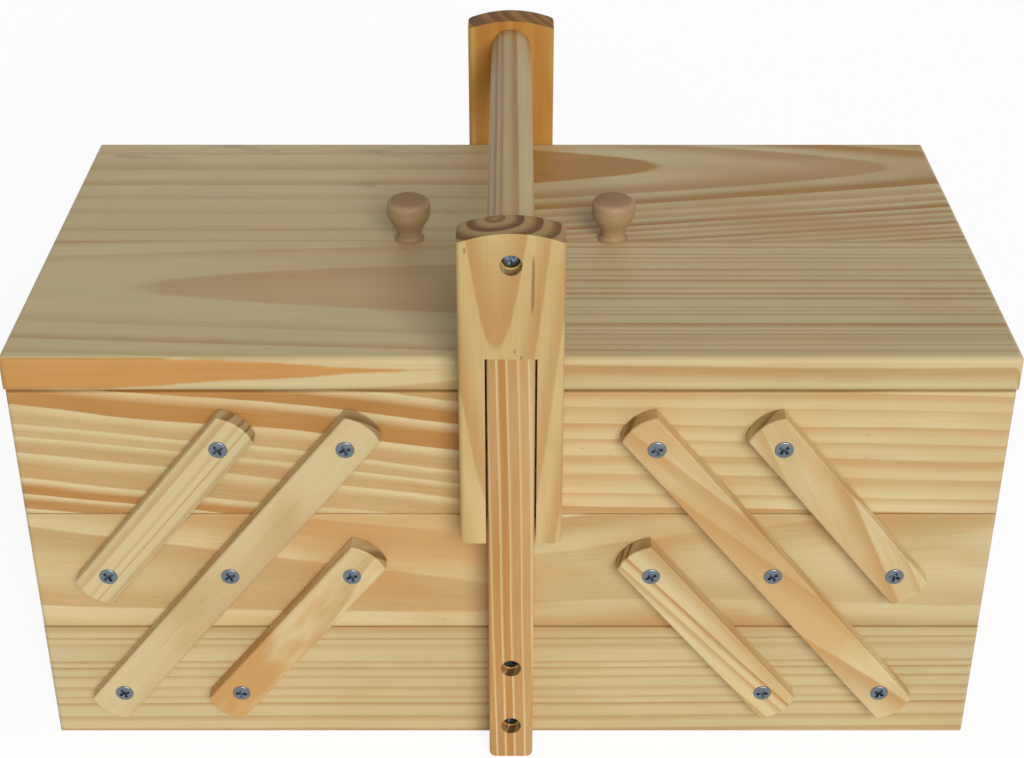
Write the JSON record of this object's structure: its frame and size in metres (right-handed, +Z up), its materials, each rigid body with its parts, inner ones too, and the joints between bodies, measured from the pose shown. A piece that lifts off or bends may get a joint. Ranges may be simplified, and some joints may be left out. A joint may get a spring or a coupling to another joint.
{
  "type": "cantilever sewing carrier",
  "caption": "Wooden cantilever sewing carrier: a base box, trays that fan out to both sides on pivoted arms, two hinged lids and a fixed round grip.",
  "frame": {"origin": "middle of the base's underside, on the surface the carrier stands on", "axes": "+X to the right along the length of the box, -Y to the front, +Z up along the posts"},
  "size_m": [0.4046, 0.243, 0.253],
  "materials": {
    "base_pine": "satin clear lacquer on planed pine, fine straight grain",
    "mid_pine": "satin clear lacquer on planed pine, broad orange bands",
    "top_pine": "satin clear lacquer on planed pine, wavy bands",
    "lid_pine": "satin clear lacquer on glued pine boards",
    "post_pine": "satin clear lacquer on strongly striped pine",
    "fork_pine": "satin clear lacquer on yellow pine with dark end grain",
    "grip_pine": "satin clear lacquer on a turned bar",
    "arm_pine": "satin clear lacquer on pine strips",
    "beech_knobs": "satin lacquered turned beech",
    "birch_ply": "bare thin plywood",
    "zinc_screws": "zinc plated",
    "brass_hinges": "brass plated"
  },
  "bodies": {
    "base": {"base_front": "base_pine", "base_back": "base_pine", "base_left_end": "base_pine", "base_right_end": "base_pine", "base_bottom": "birch_ply", "base_pivot_screws": "zinc_screws", "front_post": "post_pine", "back_post": "post_pine", "front_fork": "fork_pine", "back_fork": "fork_pine", "grip_bar": "grip_pine", "handle_screws": "zinc_screws"},
    "left_long_arms": {"left_front_long_arm": "arm_pine", "left_back_long_arm": "arm_pine"},
    "left_lower_arms": {"left_front_lower_arm": "arm_pine", "left_back_lower_arm": "arm_pine"},
    "left_upper_arms": {"left_front_upper_arm": "arm_pine", "left_back_upper_arm": "arm_pine"},
    "left_mid_tray": {"left_mid_front": "mid_pine", "left_mid_back": "mid_pine", "left_mid_outer_end": "mid_pine", "left_mid_inner_end": "mid_pine", "left_mid_bottom": "birch_ply", "left_mid_pivot_screws": "zinc_screws"},
    "left_top_tray": {"left_top_front": "top_pine", "left_top_back": "top_pine", "left_top_outer_end": "top_pine", "left_top_inner_end": "top_pine", "left_top_bottom": "birch_ply", "left_top_screws": "zinc_screws", "left_tray_hinge_leaves": "brass_hinges", "left_hinge_pins": "brass_hinges"},
    "left_lid": {"left_lid_boards": "lid_pine", "left_knob": "beech_knobs", "left_lid_hinge_leaves": "brass_hinges", "left_lid_screws": "zinc_screws"},
    "right_long_arms": {"right_front_long_arm": "arm_pine", "right_back_long_arm": "arm_pine"},
    "right_lower_arms": {"right_front_lower_arm": "arm_pine", "right_back_lower_arm": "arm_pine"},
    "right_upper_arms": {"right_front_upper_arm": "arm_pine", "right_back_upper_arm": "arm_pine"},
    "right_mid_tray": {"right_mid_front": "mid_pine", "right_mid_back": "mid_pine", "right_mid_outer_end": "mid_pine", "right_mid_inner_end": "mid_pine", "right_mid_bottom": "birch_ply", "right_mid_pivot_screws": "zinc_screws"},
    "right_top_tray": {"right_top_front": "top_pine", "right_top_back": "top_pine", "right_top_outer_end": "top_pine", "right_top_inner_end": "top_pine", "right_top_bottom": "birch_ply", "right_top_screws": "zinc_screws", "right_tray_hinge_leaves": "brass_hinges", "right_hinge_pins": "brass_hinges"},
    "right_lid": {"right_lid_boards": "lid_pine", "right_knob": "beech_knobs", "right_lid_hinge_leaves": "brass_hinges", "right_lid_screws": "zinc_screws"}
  },
  "joints": [
    {"name": "left_fan", "type": "hinge", "parent": "base", "child": "left_long_arms", "pos_m": [-0.167, 0, 0.0285], "axis": [0, -1, 0], "range_deg": [0, 77.8]},
    {"name": "left_mid_level", "type": "hinge", "parent": "left_long_arms", "child": "left_mid_tray", "pos_m": [-0.1165, 0, 0.091], "axis": [0, -1, 0], "range_deg": [-77.8, 0]},
    {"name": "left_top_level", "type": "hinge", "parent": "left_long_arms", "child": "left_top_tray", "pos_m": [-0.066, 0, 0.1535], "axis": [0, -1, 0], "range_deg": [-77.8, 0]},
    {"name": "left_lower_swing", "type": "hinge", "parent": "base", "child": "left_lower_arms", "pos_m": [-0.1165, 0, 0.0285], "axis": [0, -1, 0], "range_deg": [0, 77.8]},
    {"name": "left_upper_swing", "type": "hinge", "parent": "left_mid_tray", "child": "left_upper_arms", "pos_m": [-0.167, 0, 0.091], "axis": [0, -1, 0], "range_deg": [0, 77.8]},
    {"name": "left_lid_hinge", "type": "hinge", "parent": "left_top_tray", "child": "left_lid", "pos_m": [-0.20025, 0, 0.17535], "axis": [0, -1, 0], "range_deg": [0, 155]},
    {"name": "right_fan", "type": "hinge", "parent": "base", "child": "right_long_arms", "pos_m": [0.159, 0, 0.0285], "axis": [0, 1, 0], "range_deg": [0, 77.8]},
    {"name": "right_mid_level", "type": "hinge", "parent": "right_long_arms", "child": "right_mid_tray", "pos_m": [0.1085, 0, 0.091], "axis": [0, 1, 0], "range_deg": [-77.8, 0]},
    {"name": "right_top_level", "type": "hinge", "parent": "right_long_arms", "child": "right_top_tray", "pos_m": [0.058, 0, 0.1535], "axis": [0, 1, 0], "range_deg": [-77.8, 0]},
    {"name": "right_lower_swing", "type": "hinge", "parent": "base", "child": "right_lower_arms", "pos_m": [0.1085, 0, 0.0285], "axis": [0, 1, 0], "range_deg": [0, 77.8]},
    {"name": "right_upper_swing", "type": "hinge", "parent": "right_mid_tray", "child": "right_upper_arms", "pos_m": [0.159, 0, 0.091], "axis": [0, 1, 0], "range_deg": [0, 77.8]},
    {"name": "right_lid_hinge", "type": "hinge", "parent": "right_top_tray", "child": "right_lid", "pos_m": [0.20025, 0, 0.17535], "axis": [0, 1, 0], "range_deg": [0, 155]}
  ],
  "couplings": [
    {"joint": "left_mid_level", "follows": "left_fan", "ratio": -1},
    {"joint": "left_top_level", "follows": "left_fan", "ratio": -1},
    {"joint": "left_lower_swing", "follows": "left_fan", "ratio": 1},
    {"joint": "left_upper_swing", "follows": "left_fan", "ratio": 1},
    {"joint": "right_mid_level", "follows": "right_fan", "ratio": -1},
    {"joint": "right_top_level", "follows": "right_fan", "ratio": -1},
    {"joint": "right_lower_swing", "follows": "right_fan", "ratio": 1},
    {"joint": "right_upper_swing", "follows": "right_fan", "ratio": 1}
  ]
}
